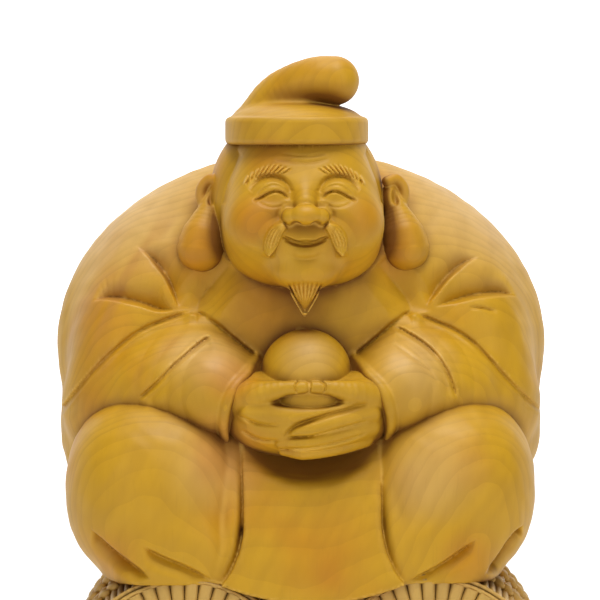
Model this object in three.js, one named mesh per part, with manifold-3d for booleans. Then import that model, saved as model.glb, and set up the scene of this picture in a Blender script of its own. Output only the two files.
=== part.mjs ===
// A boxwood carving of the lucky god Daikoku, seated on two straw rice bales with a jewel in his hands.
// Units are millimetres. +Z is up, the figure looks along -Y, and the origin is the middle of the underside.
//
// The carving is one block of wood, so it is one solid. The figure is described as a field: a function of
// x, y, z that is negative inside the wood and about the distance to its surface nearby. Its surface is
// marched out of the field on a grid and joined to the two bales. Flat stretches are then merged into
// larger triangles.
import * as THREE from "three";
import { mergeVertices } from "three/addons/utils/BufferGeometryUtils.js";
import { triTable } from "three/addons/objects/MarchingCubes.js";
import Module from "manifold-3d";

// Driving dimensions
const FIGURE_HEIGHT = 98; // from the seat on the bales to the top of the cap
const BALE_RADIUS = 23.3; // at the middle of a bale
const RIM_RADIUS = 22.3; // at its two ends
const BALE_LENGTH = 60;
const BALE_PLACES = [-22.3, 24.9]; // of the two bales' middles, across
const BALE_FORWARD = 6.5; // how far the bales sit forward of the origin
const BALE_TURN = 2.5; // degrees the bales lie askew under the figure
const UNDERSIDE_CUT = 2.6; // sawn off the round of the bales to make the flat underside
const RIM_EDGE = 0.8; // rounding between a bale's side and its end
const RIBS = 46; // bundles of straw fanned over each end
const RIB_DEPTH = 0.55;
const HUB_RADIUS = 7; // the knot of straw at the middle of each end
const HUB_RISE = 1;
const ROPE_WIDTH = 3.8; // the ropes bound round a bale
const ROPE_RISE = 0.8;
const ROPE_PLACES = [-0.56, 0, 0.56]; // along the bale, as shares of half its length
const WEB_SETBACK = 5; // the wood left between the bales starts this far behind their ends
const WEB_TOP = 16; // and reaches this far above their middles

// Fineness of the solid
const STEP_FOOT = 2.2; // how far the edge of a layer of cloth slopes outwards
const CELL = 1; // spacing of the grid that the figure's surface is marched on
const TRIANGLES = 9400;

// Forms

const { abs, cos, hypot, max, min, PI, pow, sin, sqrt } = Math;
const clamp = (v, low, high) => max(low, min(high, v));

// A swelling round form. A power of 2 makes an ellipsoid, and a higher one squares it up.
// lean tips it forward about X, in degrees, and yaw turns it about Z.
function egg([cx, cy, cz], [rx, ry, rz], { power = 2, lean = 0, yaw = 0 } = {}) {
  const [ca, sa] = [cos((lean * PI) / 180), sin((lean * PI) / 180)];
  const [cb, sb] = [cos((yaw * PI) / 180), sin((yaw * PI) / 180)];
  const reach = max(rx, ry, rz) * (power > 2 ? 1.3 : 1);
  return (x, y, z) => {
    const [dx, dy, dz] = [x - cx, y - cy, z - cz];
    const far = hypot(dx, dy, dz) - reach;
    if (far > 8) return far;
    const px = cb * dx + sb * dy;
    const py = -sb * dx + cb * dy;
    const qy = ca * py + sa * dz;
    const qz = -sa * py + ca * dz;
    const [ax, ay, az] = [abs(px) / rx, abs(qy) / ry, abs(qz) / rz];
    const [bx, by, bz] = [pow(ax, power - 1), pow(ay, power - 1), pow(az, power - 1)];
    const k = pow(ax * bx + ay * by + az * bz, 1 / power) + 1e-6;
    const slope = hypot(bx / rx, by / ry, bz / rz) / pow(k, power - 1) + 1e-6;
    return (k - 1) / slope;
  };
}

// A round bar along a smooth line through the points. Each point is [x, y, z, radius].
function bar(points, steps = 4) {
  const line = new THREE.CatmullRomCurve3(points.map(([x, y, z]) => new THREE.Vector3(x, y, z)));
  const n = (points.length - 1) * steps;
  const stops = [];
  for (let i = 0; i <= n; i++) {
    const t = (i / n) * (points.length - 1);
    const k = min(Math.floor(t), points.length - 2);
    const p = line.getPoint(i / n);
    stops.push([p.x, p.y, p.z, points[k][3] + (points[k + 1][3] - points[k][3]) * (t - k)]);
  }
  const [mx, my, mz] = stops[n >> 1];
  const reach = max(...stops.map(([x, y, z, r]) => hypot(x - mx, y - my, z - mz) + r));
  return (x, y, z) => {
    const far = hypot(x - mx, y - my, z - mz) - reach;
    if (far > 6) return far;
    let best = Infinity;
    for (let i = 0; i < n; i++) {
      const [a, b] = [stops[i], stops[i + 1]];
      const [ux, uy, uz] = [b[0] - a[0], b[1] - a[1], b[2] - a[2]];
      const [vx, vy, vz] = [x - a[0], y - a[1], z - a[2]];
      const t = clamp((ux * vx + uy * vy + uz * vz) / (ux * ux + uy * uy + uz * uz), 0, 1);
      best = min(best, hypot(vx - ux * t, vy - uy * t, vz - uz * t) - a[3] - (b[3] - a[3]) * t);
    }
    return best;
  };
}

// Two fields joined with a fillet of about the given radius.
const soft = (a, b, radius) => {
  const h = max(radius - abs(a - b), 0) / radius;
  return min(a, b) - (h * h * radius) / 4;
};
const joined = (radius, ...forms) => (x, y, z) => {
  let d = forms[0](x, y, z);
  for (let i = 1; i < forms.length; i++) d = soft(d, forms[i](x, y, z), radius);
  return d;
};
const hollowed = (radius, form, ...tools) => (x, y, z) => {
  let d = form(x, y, z);
  for (const tool of tools) d = -soft(-d, tool(x, y, z), radius);
  return d;
};

// Carving drawn on the front, as lines of [x, z] points seen from the front. A groove is cut to its depth
// along the line. A step raises the side on the line's right hand by its depth, eases off over its width on
// that side, and has a narrow hollow at its foot. A crease has its right side rolling down into it.
function stroke(points, { depth, width, kind = "groove", fade = 0.25 }) {
  const line = new THREE.CatmullRomCurve3(points.map(([x, z]) => new THREE.Vector3(x, 0, z)));
  const n = (points.length - 1) * 4;
  const stops = line.getPoints(n).map((p) => [p.x, p.z]);
  const low = [0, 1].map((k) => min(...stops.map((s) => s[k])) - width);
  const high = [0, 1].map((k) => max(...stops.map((s) => s[k])) + width);
  const profile = {
    groove: (fall) => fall * fall,
    step: (fall, best, right) => {
      if (right) return -fall * fall;
      const beyond = max(best - STEP_FOOT, 0) / width;
      return best < STEP_FOOT ? (1.4 * best) / STEP_FOOT - 1 : 0.4 * pow(1 - beyond, 4);
    },
    crease: (fall, best, right) => (right ? 1 - sqrt(1 - fall * fall) : max(1 - best / STEP_FOOT, 0)),
  }[kind];
  return (x, z) => {
    if (x < low[0] || x > high[0] || z < low[1] || z > high[1]) return 0;
    let [best, side, along] = [Infinity, 1, 0];
    for (let i = 0; i < n; i++) {
      const [a, b] = [stops[i], stops[i + 1]];
      const [ux, uz] = [b[0] - a[0], b[1] - a[1]];
      const [vx, vz] = [x - a[0], z - a[1]];
      const t = clamp((ux * vx + uz * vz) / (ux * ux + uz * uz), 0, 1);
      const d = hypot(vx - ux * t, vz - uz * t);
      if (d < best) [best, side, along] = [d, uz * vx - ux * vz, (i + t) / n];
    }
    if (best >= width) return 0;
    const ends = clamp(min(along, 1 - along) / fade, 0, 1);
    return depth * profile(1 - best / width, best, side > 0) * sqrt(ends);
  };
}

const engraved = (form, strokes, front) => (x, y, z) => {
  const d = form(x, y, z);
  if (abs(d) > 3 || y > front) return d;
  let cut = 0;
  for (const s of strokes) cut += s(x, z);
  return d + cut;
};
const mirrored = (points) => points.map(([x, ...rest]) => [-x, ...rest]);
const onBothSides = (form) => (x, y, z) => form(abs(x), y, z);
// The stroke on both sides. The left side's own points may be given, as if they were on the right.
const bothStrokes = (points, how, left = points) => [stroke(points, how), stroke(mirrored(left).reverse(), how)];

// The figure, in its own frame: the origin is the seat, and it is drawn 98 mm tall.

function cap() {
  const round = egg([-1.2, -12.5, 83], [14, 16, 60], { power: 2.2 });
  const band = hollowed(1.2, round, (x, y, z) => 2.7 - abs(z - 83.1));
  const crown = egg([-1.2, -12.5, 84.6], [13, 15, 4.2], { power: 2.2 });
  const rise = [[-6.4, -9.5, 84, 6.6], [-4.2, -11.4, 88.8, 5.4], [-0.6, -14, 91.6, 4.8]];
  const tail = [[2.8, -15.6, 92.9, 4.7], [6, -16.4, 92.9, 4.8]];
  return joined(0.6, band, joined(2, crown, bar(rise)), bar([...rise, ...tail]));
}

function face() {
  const skull = joined(
    4,
    egg([-0.4, -13, 74.5], [13.4, 14.2, 14], { power: 2.3 }),
    egg([-0.4, -16.5, 65.8], [15.9, 15, 13.6], { power: 2.5 }),
  );
  const cheek = egg([8.6, -26, 65.5], [6.6, 6.4, 6.2]);
  const chin = egg([0, -28.5, 56.6], [6.2, 4.6, 3.8]);
  const muzzle = egg([0, -29.2, 62.4], [6.6, 3.6, 3.8]);
  const flesh = joined(3, skull, onBothSides(cheek), chin, muzzle);
  const sockets = hollowed(2, flesh, onBothSides(egg([6.3, -33, 73.2], [4.6, 2.6, 3])));
  const lids = joined(1, sockets, onBothSides(egg([6.3, -27.4, 71.6], [4, 3.3, 3.2])));
  const bridge = bar([[0, -25.8, 76, 1.8], [0, -28.2, 73, 2.4], [0, -31.6, 69.8, 2.6]]);
  const tip = egg([0, -34.2, 68.3], [3.1, 2.8, 2.2]);
  const nostril = egg([3.1, -32.9, 68], [1.7, 2.2, 1.7]);
  const nose = joined(1, bridge, tip, onBothSides(nostril));
  const beard = bar([[0, -27.8, 56, 3.6], [0, -29.2, 53, 2.8], [0, -29.4, 50.4, 1.5], [0, -29, 48.2, 0.4]]);
  const lip = bar([[-3.6, -31.6, 62.2, 0.5], [0, -32.5, 60.9, 0.9], [3.6, -31.6, 62.2, 0.5]]);
  return joined(0.5, joined(1.4, lids, nose), beard, lip);
}

function headStrokes() {
  const eye = [[2.6, 70.9], [4.6, 72.3], [6.6, 72.3], [8.3, 71.1], [10, 70.5]];
  const crease = [[2.4, 71.8], [3.6, 74.2], [6, 75.2], [8.6, 74.6], [10.4, 73]];
  const mouth = [[-4.2, 63.6], [-2, 62.4], [0, 62], [2, 62.4], [4.2, 63.6]];
  const whisker = [[3.9, 65.2], [5.8, 64.4], [7, 62.6], [6.8, 60]];
  return [
    ...bothStrokes(eye, { depth: 0.9, width: 0.9 }),
    ...bothStrokes(crease, { depth: 0.6, width: 1.3 }),
    ...bothStrokes(whisker, { depth: -1, width: 1.7, fade: 0.2 }),
    stroke(mouth, { depth: 1.6, width: 1, fade: 0.1 }),
  ];
}

function head() {
  const hair = egg([-1.2, -10, 68], [17.2, 13.6, 18.4], { power: 2.3 });
  const rim = bar([
    [18.2, -12.6, 66.6, 1.3],
    [19, -12.2, 69.4, 1.4],
    [18.9, -12.4, 71.9, 1.3],
    [17.4, -13, 73.1, 1.2],
    [16, -13.8, 72.4, 1],
  ]);
  const lobe = bar([[18.6, -13, 67.6, 1.4], [19.3, -14, 64.8, 2.8], [20, -15, 61.4, 4.4], [20, -15, 60.2, 4.7]]);
  const inner = egg([16.8, -14, 69.4], [1.5, 2.4, 3], { power: 2.2 });
  const ear = joined(0.8, rim, lobe, inner);
  return joined(0.5, engraved(face(), headStrokes(), -18), hair, cap(), onBothSides(ear));
}

// The cloth hanging between the knees: hollow below the hands, coming forward and wider to the hem.
function apron() {
  return (x, y, z) => {
    const half = 13.5 + 0.0275 * pow(max(9 - z, 0), 2);
    const share = min(abs(x - 0.9) / half, 1);
    const hollow = pow(max(z - 13, 0), 2) * (1 - pow(share, 3));
    const front = -37.8 + 0.0095 * pow(z + 6, 2) + 0.12 * hollow;
    return max(front - y, abs(x - 0.9) - half, z - 24, y - 20);
  };
}

function robe() {
  const back = joined(4, egg([0.5, 5, 40], [49.1, 28, 38.6]), egg([0.3, 4, 23], [48.2, 29, 19], { power: 2.4 }));
  const seat = egg([-0.6, 2, 13], [45, 33, 19], { power: 2.8 });
  const chest = egg([0, -7, 44], [24, 17, 22], { power: 2.2 });
  const upperArm = bar([[26, -1, 54, 13], [31.6, -6, 44, 13], [34, -9, 32, 12.6]]);
  const forearm = bar([[35.4, -7, 28.8, 12], [27.5, -15.5, 32, 12], [18, -25, 33.4, 9.4]]);
  const cuff = bar([
    [9.8, -24.4, 39.6, 0.6],
    [11.6, -30.6, 36.8, 0.8],
    [14.3, -33.4, 34, 0.9],
    [15.5, -33.7, 31, 0.9],
    [16, -32, 27.4, 0.9],
    [15.6, -29, 24, 0.7],
  ]);
  const knees = [[-28.6, 17.9], [27.5, 17.6]].map(([x, half]) =>
    joined(
      3,
      egg([x, -18, 13.6], [half, 19.5, 18.6], { power: 2.1 }),
      egg([0.9 * x, -15, 2], [0.74 * half, 22.6, 10], { power: 3.4 }),
    ),
  );
  const body = joined(3, back, chest, seat, onBothSides(upperArm));
  const arms = joined(1.5, body, onBothSides(joined(0.8, forearm, cuff)));
  return joined(0.7, arms, apron(), ...knees);
}

function robeStrokes() {
  const outer = [
    [21.5, 47.9], [25.5, 46.2], [29.4, 44.5], [32.8, 42.2], [35.6, 39.4], [39.2, 35.3], [42.9, 31.6], [48.5, 26.6],
  ];
  const outerLeft = [[21.5, 48.3], [26.7, 46.7], [32.5, 44.2], [38.2, 39.6], [43.9, 33.1], [49, 25.6]];
  const inner = [[17.2, 45.5], [20.7, 43.7], [23.6, 41.7], [25.7, 39.5], [27.6, 36.2], [29.1, 31.6]];
  const innerLeft = [[18.2, 43.9], [21.2, 41.9], [25.2, 38.7], [28.6, 35.3], [32.5, 31.7]];
  const neck = [
    [9.8, 39.8], [12.6, 41.8], [15.2, 44.2], [17.4, 45.9], [20.4, 48.2], [20.2, 50.2], [17.7, 53.2], [14.6, 57],
  ];
  const armpit = [[35.5, 58.6], [31.7, 57.1], [28, 54.3], [25, 50.7], [23.8, 48.7]];
  const armpitLeft = [[32.9, 60.8], [29.5, 58.1], [26.7, 54.8], [25, 50.9], [24.4, 48.6]];
  const elbow = [[42.7, 50.3], [39.2, 51], [33.7, 50.9], [29, 49.8], [24.9, 48.7]];
  const elbowLeft = [[41.6, 49.7], [38.1, 50.5], [32.4, 49.8], [27.9, 48.4], [24.4, 48.4]];
  const kneeFold = [[41.8, 7.7], [39.2, 5.1], [36.4, 1.2], [33.6, -1.6]];
  const kneeFoldLeft = [[41.6, 7.7], [37.8, 4.1], [33, 0.7], [29.8, -1.7]];
  const lowFold = [[32.4, 5.9], [28.9, 3.3], [23.6, -0.1], [18.6, -2.4]];
  const lowFoldLeft = [[31.7, 5], [28.2, 2.8], [23.5, 0.8], [17.5, -2.3]];
  return [
    ...bothStrokes(outer, { depth: 1, width: 6, kind: "step", fade: 0.1 }, outerLeft),
    ...bothStrokes(inner, { depth: 1, width: 6, kind: "step", fade: 0.1 }, innerLeft),
    ...bothStrokes(neck, { depth: 0.8, width: 4, kind: "step", fade: 0.1 }),
    ...bothStrokes(armpit, { depth: 2.2, width: 3.6, kind: "crease" }, armpitLeft),
    ...bothStrokes(elbow, { depth: 2.4, width: 4, kind: "crease" }, elbowLeft),
    ...bothStrokes(kneeFold, { depth: 1.8, width: 2.8, kind: "crease" }, kneeFoldLeft),
    ...bothStrokes(lowFold, { depth: 1.3, width: 2.4, kind: "crease" }, lowFoldLeft),
  ];
}

// Both hands closed round the jewel. The fingers of one lie over the other, and the thumbs meet above a gap.
function hands() {
  const closed = hollowed(1, egg([0.2, -25.4, 29.4], [16.2, 11.6, 8.8], { power: 2.5 }), (x, y, z) => 35.4 - z);
  const gap = hollowed(0.5, closed, egg([-0.3, -38.5, 32.2], [8, 6, 1.7]));
  const thumb = bar([
    [13.4, -30.8, 32.6, 3.3], [8.6, -34.2, 33.6, 2.4], [4.2, -35.8, 34.7, 1.4], [0.9, -36.2, 34.9, 1.15],
  ]);
  const root = egg([9.8, -28.6, 32.6], [5.6, 6.2, 6.2]);
  const low = egg([0.1, -32, 33], [4.6, 3.4, 2.6]);
  const under = bar([[-11, -33.4, 29.8, 2.2], [-4, -35.8, 29.5, 1.6], [2, -36.2, 29.7, 1.2], [6.5, -35.4, 30.6, 0.7]]);
  const over = [
    bar([[12, -32.6, 29.6, 2.2], [6, -35.6, 28.4, 2], [0, -36.3, 26.9, 1.9], [-4, -35.7, 26.2, 1.5]]),
    bar([[12, -32, 27, 2.1], [6, -35.2, 25.4, 1.9], [0, -35.6, 24.3, 1.8], [-4.4, -35, 23.9, 1.4]]),
    bar([[11, -31, 24.6, 1.9], [5, -33.8, 23.2, 1.7], [-1, -34.2, 22.4, 1.6], [-4, -33.8, 22.3, 1.2]]),
  ];
  return joined(0.5, gap, onBothSides(joined(1, thumb, root)), low, under, ...over);
}

function figure() {
  const jewel = egg([0, -27, 36.5], [8.8, 8.8, 8.8]);
  const dressed = engraved(robe(), robeStrokes(), -2);
  const shown = joined(0.5, dressed, head(), hands(), jewel);
  const hem = (x) => -2.8 - 3.6 * clamp(1 - pow((x - 0.9) / 17.8, 2), 0, 1);
  return (x, y, z) => max(shown(x, y, z), hem(x) - z);
}

// The surface of a field inside a box, as a closed mesh of small triangles.
function marched(field, low, high, cell) {
  const [nx, ny, nz] = [0, 1, 2].map((k) => Math.ceil((high[k] - low[k]) / cell) + 1);
  const values = new Float32Array(nx * ny * nz);
  const at = (i, j, k) => i + nx * (j + ny * k);
  for (let k = 0; k < nz; k++) {
    for (let j = 0; j < ny; j++) {
      for (let i = 0; i < nx; i++) {
        const v = field(low[0] + i * cell, low[1] + j * cell, low[2] + k * cell);
        values[at(i, j, k)] = abs(v) < 1e-3 ? 1e-3 : v;
      }
    }
  }
  const corners = [[0, 0, 0], [1, 0, 0], [1, 1, 0], [0, 1, 0], [0, 0, 1], [1, 0, 1], [1, 1, 1], [0, 1, 1]];
  const edges = [[0, 1], [1, 2], [2, 3], [3, 0], [4, 5], [5, 6], [6, 7], [7, 4], [0, 4], [1, 5], [2, 6], [3, 7]];
  const known = new Map();
  const positions = [];
  const triangles = [];
  const vertexOn = (cube, edge) => {
    const [a, b] = edges[edge].map((c) => corners[c].map((v, n) => v + cube[n]));
    const [na, nb] = [at(...a), at(...b)];
    const key = min(na, nb) * 3 + a.findIndex((v, n) => v !== b[n]);
    if (!known.has(key)) {
      known.set(key, positions.length / 3);
      const t = clamp(values[na] / (values[na] - values[nb]), 0.03, 0.97);
      for (let n = 0; n < 3; n++) positions.push(low[n] + (a[n] + (b[n] - a[n]) * t) * cell);
    }
    return known.get(key);
  };
  for (let k = 0; k < nz - 1; k++) {
    for (let j = 0; j < ny - 1; j++) {
      for (let i = 0; i < nx - 1; i++) {
        let code = 0;
        for (let n = 0; n < 8; n++) {
          const [a, b, c] = corners[n];
          if (values[at(i + a, j + b, k + c)] < 0) code |= 1 << n;
        }
        for (let n = code * 16; triTable[n] !== -1; n += 3) {
          for (const e of [triTable[n], triTable[n + 2], triTable[n + 1]]) triangles.push(vertexOn([i, j, k], e));
        }
      }
    }
  }
  return { positions, triangles };
}

// The largest connected surface of a mesh. Pockets closed inside the wood are left out.
function largest({ positions, triangles }) {
  const parent = positions.map((_, i) => i).slice(0, positions.length / 3);
  const root = (v) => {
    while (parent[v] !== v) v = parent[v] = parent[parent[v]];
    return v;
  };
  for (let i = 0; i < triangles.length; i += 3) {
    parent[root(triangles[i + 1])] = root(triangles[i]);
    parent[root(triangles[i + 2])] = root(triangles[i]);
  }
  const counts = new Map();
  for (const v of triangles) counts.set(root(v), (counts.get(root(v)) ?? 0) + 1);
  const main = [...counts].sort((a, b) => b[1] - a[1])[0][0];
  return { positions, triangles: triangles.filter((v) => root(v) === main) };
}

// Merges the edges of a closed mesh into points, those that change its shape least first, until only so many
// triangles are left. Each point carries the sum of its planes' squared distances as ten numbers.
function simplified({ positions, triangles }, target) {
  const points = [];
  for (let i = 0; i < positions.length; i += 3) points.push([...positions.slice(i, i + 3)]);
  const faces = [];
  for (let i = 0; i < triangles.length; i += 3) faces.push([...triangles.slice(i, i + 3)]);
  const around = points.map(() => new Set());
  const planes = points.map(() => new Array(10).fill(0));
  const stamp = points.map(() => 0);
  const crossOf = ([a, b, c]) => {
    const [ux, uy, uz] = [b[0] - a[0], b[1] - a[1], b[2] - a[2]];
    const [vx, vy, vz] = [c[0] - a[0], c[1] - a[1], c[2] - a[2]];
    return [uy * vz - uz * vy, uz * vx - ux * vz, ux * vy - uy * vx];
  };
  faces.forEach((face, f) => {
    const [a, b, c] = face.map((v) => points[v]);
    const n = crossOf([a, b, c]);
    const area = hypot(...n) + 1e-12;
    const [x, y, z] = n.map((v) => v / area);
    const d = -(x * a[0] + y * a[1] + z * a[2]);
    const q = [x * x, x * y, x * z, x * d, y * y, y * z, y * d, z * z, z * d, d * d];
    for (const v of face) {
      around[v].add(f);
      for (let k = 0; k < 10; k++) planes[v][k] += (q[k] * area) / 6;
    }
  });
  const best = (u, v) => {
    const q = planes[u].map((value, k) => value + planes[v][k]);
    const mid = points[u].map((value, k) => (value + points[v][k]) / 2);
    const hold = 1e-3 * (q[0] + q[4] + q[7]) + 1e-9;
    const [a, b, c, d, e, f] = [q[0] + hold, q[1], q[2], q[4] + hold, q[5], q[7] + hold];
    const [r, s, t] = [hold * mid[0] - q[3], hold * mid[1] - q[6], hold * mid[2] - q[8]];
    const [m0, m1, m2] = [d * f - e * e, c * e - b * f, b * e - c * d];
    const det = a * m0 + b * m1 + c * m2;
    const p = [
      (m0 * r + m1 * s + m2 * t) / det,
      (m1 * r + (a * f - c * c) * s + (b * c - a * e) * t) / det,
      (m2 * r + (b * c - a * e) * s + (a * d - b * b) * t) / det,
    ];
    const [x, y, z] = p;
    const bend =
      q[0] * x * x + q[4] * y * y + q[7] * z * z + q[9] + 2 * (q[1] * x * y + q[2] * x * z + q[5] * y * z) +
      2 * (q[3] * x + q[6] * y + q[8] * z);
    const length = hypot(...points[u].map((value, k) => value - points[v][k]));
    return [max(bend, 0) + 2e-5 * length * length, p];
  };
  const heap = [];
  const swap = (i, j) => ([heap[i], heap[j]] = [heap[j], heap[i]]);
  const push = (u, v) => {
    const [cost, p] = best(u, v);
    heap.push({ cost, p, u, v, su: stamp[u], sv: stamp[v] });
    for (let i = heap.length - 1; i > 0 && heap[i].cost < heap[(i - 1) >> 1].cost; i = (i - 1) >> 1) {
      swap(i, (i - 1) >> 1);
    }
  };
  const pop = () => {
    swap(0, heap.length - 1);
    const top = heap.pop();
    for (let i = 0; ; ) {
      let least = i;
      for (const child of [2 * i + 1, 2 * i + 2]) {
        if (child < heap.length && heap[child].cost < heap[least].cost) least = child;
      }
      if (least === i) return top;
      swap(i, least);
      i = least;
    }
  };
  const beside = (v) => {
    const set = new Set();
    for (const f of around[v]) for (const w of faces[f]) if (w !== v) set.add(w);
    return set;
  };
  const turns = (v, other, p) => {
    for (const f of around[v]) {
      if (faces[f].includes(other)) continue;
      const before = faces[f].map((w) => points[w]);
      const after = faces[f].map((w) => (w === v ? p : points[w]));
      const [n, m] = [crossOf(before), crossOf(after)];
      const [a, b] = [hypot(...n), hypot(...m)];
      if (n[0] * m[0] + n[1] * m[1] + n[2] * m[2] < 0.3 * a * b) return true;
      const longest = max(...after.map((w, k) => hypot(...w.map((value, c) => value - after[(k + 1) % 3][c]))));
      if (b < 0.06 * longest * longest) return true;
    }
    return false;
  };
  faces.forEach((face) => face.forEach((v, k) => v < face[(k + 1) % 3] && push(v, face[(k + 1) % 3])));
  let left = faces.length;
  while (left > target && heap.length > 1) {
    const { p, u, v, su, sv } = pop();
    if (!around[u].size || !around[v].size || stamp[u] !== su || stamp[v] !== sv) continue;
    const [nearU, nearV] = [beside(u), beside(v)];
    if ([...nearU].filter((w) => nearV.has(w)).length !== 2) continue;
    if (turns(u, v, p) || turns(v, u, p)) continue;
    points[u] = p;
    planes[u] = planes[u].map((value, k) => value + planes[v][k]);
    for (const f of around[v]) {
      if (faces[f].includes(u)) {
        for (const w of faces[f]) if (w !== v) around[w].delete(f);
        faces[f] = null;
        left -= 1;
      } else {
        faces[f] = faces[f].map((w) => (w === v ? u : w));
        around[u].add(f);
      }
    }
    around[v].clear();
    stamp[u] += 1;
    for (const w of beside(u)) push(u, w);
  }
  return { positions: points.flat(), triangles: faces.filter(Boolean).flat() };
}

// Solids

const wasm = await Module();
wasm.setup();

function solid({ positions, triangles }) {
  const vertProperties = Float32Array.from(positions);
  return new wasm.Manifold(new wasm.Mesh({ numProp: 3, vertProperties, triVerts: Uint32Array.from(triangles) }));
}

function solidOf(geometry) {
  geometry.deleteAttribute("normal");
  geometry.deleteAttribute("uv");
  const merged = mergeVertices(geometry, 1e-4);
  return solid({ positions: merged.attributes.position.array, triangles: merged.index.array });
}

const baleZ = BALE_RADIUS - UNDERSIDE_CUT;
const baleHalf = BALE_LENGTH / 2;

// One bale: a barrel of straw lying along Y, turned from its outline, with ribs fanned over both ends.
function bale(x) {
  const body = (y) => RIM_RADIUS + (BALE_RADIUS - RIM_RADIUS) * (1 - pow(y / baleHalf, 2));
  const end = [
    [0, HUB_RISE],
    [HUB_RADIUS * 0.6, HUB_RISE * 0.85],
    [HUB_RADIUS, 0],
    [HUB_RADIUS + 1.4, -0.3],
    [RIM_RADIUS - 1, -0.3],
    [RIM_RADIUS - 0.4, -0.3],
    [RIM_RADIUS, -RIM_EDGE],
  ];
  const side = [];
  for (const share of ROPE_PLACES) {
    for (const [across, rise] of [[-0.5, -0.3], [-0.42, 0.6], [-0.16, 1], [0.16, 1], [0.42, 0.6], [0.5, -0.3]]) {
      const y = share * baleHalf + across * ROPE_WIDTH;
      side.push([body(y) + rise * ROPE_RISE, y]);
    }
  }
  for (const share of [-0.86, -0.72, -0.4, -0.28, -0.16, 0.16, 0.28, 0.4, 0.72, 0.86]) {
    side.push([body(share * baleHalf), share * baleHalf]);
  }
  side.sort((a, b) => a[1] - b[1]);
  const outline = [
    ...end.map(([r, rise]) => [r, -baleHalf - rise]),
    ...side,
    ...end.map(([r, rise]) => [r, baleHalf + rise]).reverse(),
  ];
  const turned = new THREE.LatheGeometry(outline.map(([r, y]) => new THREE.Vector2(r, y)), RIBS * 2);
  const place = turned.attributes.position;
  for (let i = 0; i < place.count; i++) {
    const r = hypot(place.getX(i), place.getZ(i));
    const onEnd = abs(place.getY(i)) > baleHalf - 0.6 && r > HUB_RADIUS + 1 && r < RIM_RADIUS - 0.7;
    const ridge = 0.5 + 0.5 * cos(RIBS * Math.atan2(place.getZ(i), place.getX(i)));
    if (onEnd) place.setY(i, place.getY(i) + Math.sign(place.getY(i)) * RIB_DEPTH * ridge);
  }
  return solidOf(turned.rotateZ((-BALE_TURN * PI) / 180).translate(x, -BALE_FORWARD, baleZ));
}

function block(width, depth, height, x, y, z) {
  return solidOf(new THREE.BoxGeometry(width, depth, height).translate(x, y, z));
}

const scale = FIGURE_HEIGHT / 98;
const seatZ = baleZ + BALE_RADIUS;
const person = figure();
const grown = (x, y, z) => person(x / scale, y / scale, (z - seatZ) / scale) * scale;
const low = [-52, -41, -10].map((v, k) => v * scale + [0, 0, seatZ][k]);
const high = [52, 37, 100].map((v, k) => v * scale + [0, 0, seatZ][k]);
const carved = solid(largest(marched(grown, low, high, CELL)));

const webHeight = baleZ + WEB_TOP;
const [left, right] = BALE_PLACES;
const webLength = BALE_LENGTH - 2 * WEB_SETBACK;
const web = block(right - left, webLength, webHeight, (left + right) / 2, -BALE_FORWARD, webHeight / 2);
const ground = block(4 * BALE_LENGTH, 4 * BALE_LENGTH, BALE_RADIUS, 0, 0, -BALE_RADIUS / 2);
const whole = carved.add(bale(left)).add(bale(right)).add(web).subtract(ground).getMesh();
const { positions, triangles } = simplified(
  largest({ positions: [...whole.vertProperties], triangles: [...whole.triVerts] }),
  TRIANGLES,
);
for (let i = 2; i < positions.length; i += 3) if (abs(positions[i]) < 0.05) positions[i] = 0;

const geometry = new THREE.BufferGeometry();
geometry.setAttribute("position", new THREE.Float32BufferAttribute(positions, 3));
geometry.setIndex(triangles);
geometry.computeBoundingBox();
const middle = geometry.boundingBox.getCenter(new THREE.Vector3());
geometry.translate(-middle.x, -middle.y, 0);
geometry.computeVertexNormals();

const boxwood = new THREE.MeshStandardMaterial({ color: 0xc99a45, roughness: 0.5, metalness: 0, flatShading: true });
const carving = new THREE.Mesh(geometry, boxwood);
carving.name = "daikoku_figure";

const daikoku = new THREE.Group();
daikoku.add(carving);
export default daikoku;
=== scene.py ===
"""A boxwood carving of a lucky god seated on two straw rice bales, finished for looking at.

The wood is described as fields, as in the part's source: functions that are negative inside the wood and
about the distance to its surface nearby. The figure's fields are in its own frame, in millimetres, with the
origin at the seat on the bales.
"""
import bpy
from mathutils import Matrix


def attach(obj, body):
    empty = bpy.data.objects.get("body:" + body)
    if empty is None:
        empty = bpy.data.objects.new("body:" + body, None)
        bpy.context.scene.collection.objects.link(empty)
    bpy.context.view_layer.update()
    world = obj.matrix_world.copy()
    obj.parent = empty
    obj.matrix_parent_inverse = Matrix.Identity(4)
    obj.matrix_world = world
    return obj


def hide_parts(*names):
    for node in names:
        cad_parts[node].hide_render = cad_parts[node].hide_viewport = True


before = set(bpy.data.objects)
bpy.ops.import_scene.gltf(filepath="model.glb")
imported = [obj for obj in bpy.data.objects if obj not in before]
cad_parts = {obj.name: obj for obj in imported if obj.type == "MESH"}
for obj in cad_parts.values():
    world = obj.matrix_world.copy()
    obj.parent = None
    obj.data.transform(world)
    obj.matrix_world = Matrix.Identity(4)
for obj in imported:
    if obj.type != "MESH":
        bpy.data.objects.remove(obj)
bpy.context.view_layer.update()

from concurrent.futures import ThreadPoolExecutor
from math import cos, pi, radians, sin

import bmesh
import bpy
import numpy as np
from mathutils import Matrix, Vector

NODE, BODY, SLOT = "daikoku_figure", "root", "boxwood"

# Sizes shared with the solid, in millimetres
BALE_RADIUS, RIM_RADIUS, BALE_LENGTH = 23.3, 22.3, 60.0
BALE_PLACES, BALE_Y, BALE_TURN = (-22.3, 24.9), -6.5, radians(2.5)
UNDERSIDE_CUT = 2.6
WEB_SETBACK, WEB_TOP = 5.0, 16.0
ROPE_PLACES = (-0.56, 0.0, 0.56)
HUB_RADIUS = 7.0
RIBS = 46  # bundles of straw fanned over each end

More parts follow.
